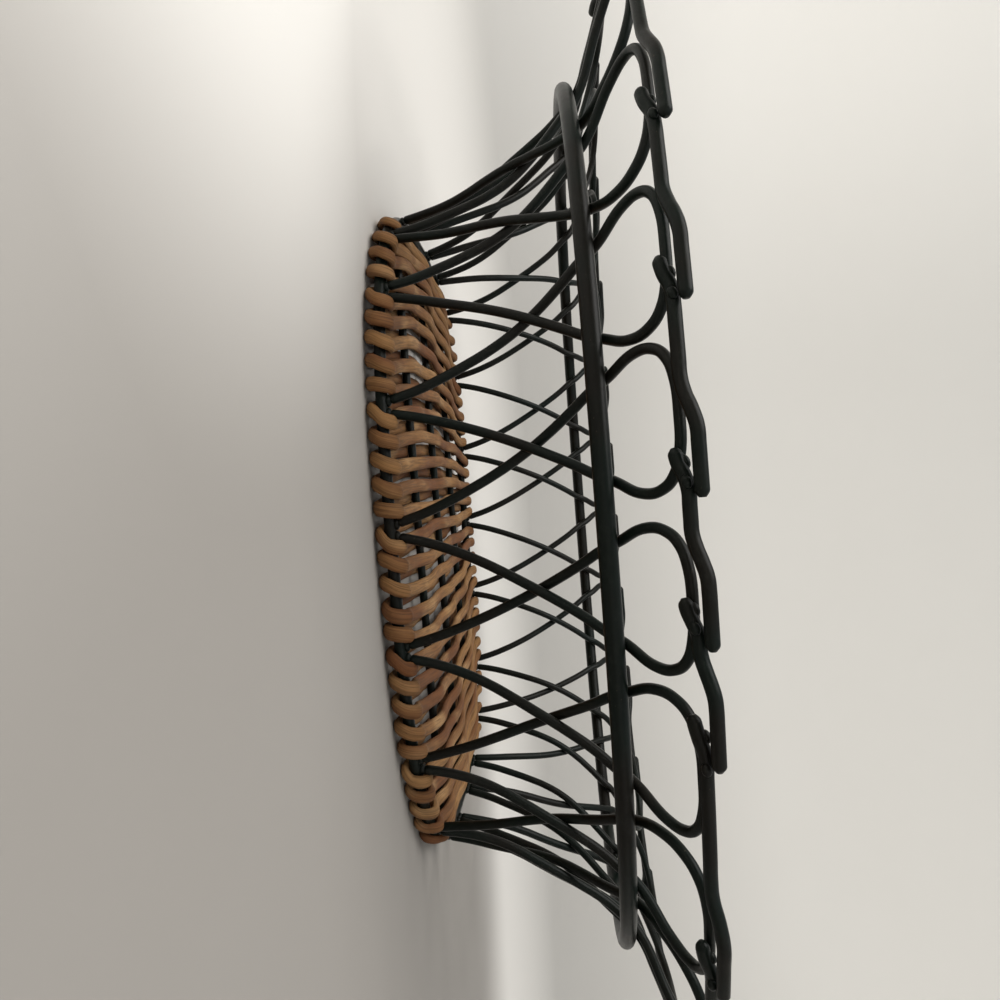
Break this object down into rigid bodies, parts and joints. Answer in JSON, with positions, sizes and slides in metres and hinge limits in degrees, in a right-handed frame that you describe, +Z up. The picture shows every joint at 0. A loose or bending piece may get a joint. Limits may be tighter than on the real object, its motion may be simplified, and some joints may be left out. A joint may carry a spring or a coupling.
{
  "type": "oval wire basket",
  "caption": "Shallow oval basket: wicker base wound on a wire ring, crossed wire wall, heavy middle hoop and a flared rim of wire loops.",
  "frame": {"origin": "on the resting plane, under the middle of the base", "axes": "+X along the oval's length, +Y across it, +Z up through the open rim"},
  "size_m": [0.2924, 0.193, 0.0633],
  "materials": {
    "coated_wire": "satin dark green-black coating on round steel wire",
    "wicker": "dull stained brown rattan strand"
  },
  "bodies": {
    "root": {"base_ring": "coated_wire", "oval_hoop": "coated_wire", "base_stake_1": "coated_wire", "base_stake_2": "coated_wire", "base_stake_3": "coated_wire", "hairpin_wire_1": "coated_wire", "hairpin_wire_2": "coated_wire", "hairpin_wire_3": "coated_wire", "hairpin_wire_4": "coated_wire", "hairpin_wire_5": "coated_wire", "hairpin_wire_6": "coated_wire", "hairpin_wire_7": "coated_wire", "hairpin_wire_8": "coated_wire", "hairpin_wire_9": "coated_wire", "hairpin_wire_10": "coated_wire", "hairpin_wire_11": "coated_wire", "hairpin_wire_12": "coated_wire", "hairpin_wire_13": "coated_wire", "hairpin_wire_14": "coated_wire", "hairpin_wire_15": "coated_wire", "hairpin_wire_16": "coated_wire", "hairpin_wire_17": "coated_wire", "hairpin_wire_18": "coated_wire", "hairpin_wire_19": "coated_wire", "hairpin_wire_20": "coated_wire", "hairpin_wire_21": "coated_wire", "hairpin_wire_22": "coated_wire", "rim_scroll_1": "coated_wire", "rim_scroll_2": "coated_wire", "rim_scroll_3": "coated_wire", "rim_scroll_4": "coated_wire", "rim_scroll_5": "coated_wire", "rim_scroll_6": "coated_wire", "rim_scroll_7": "coated_wire", "rim_scroll_8": "coated_wire", "rim_scroll_9": "coated_wire", "rim_scroll_10": "coated_wire", "rim_scroll_11": "coated_wire", "rim_scroll_12": "coated_wire", "rim_scroll_13": "coated_wire", "rim_scroll_14": "coated_wire", "rim_scroll_15": "coated_wire", "rim_scroll_16": "coated_wire", "rim_scroll_17": "coated_wire", "rim_scroll_18": "coated_wire", "rim_scroll_19": "coated_wire", "rim_scroll_20": "coated_wire", "rim_scroll_21": "coated_wire", "rim_scroll_22": "coated_wire", "wicker_weaver": "wicker"}
  },
  "joints": []
}
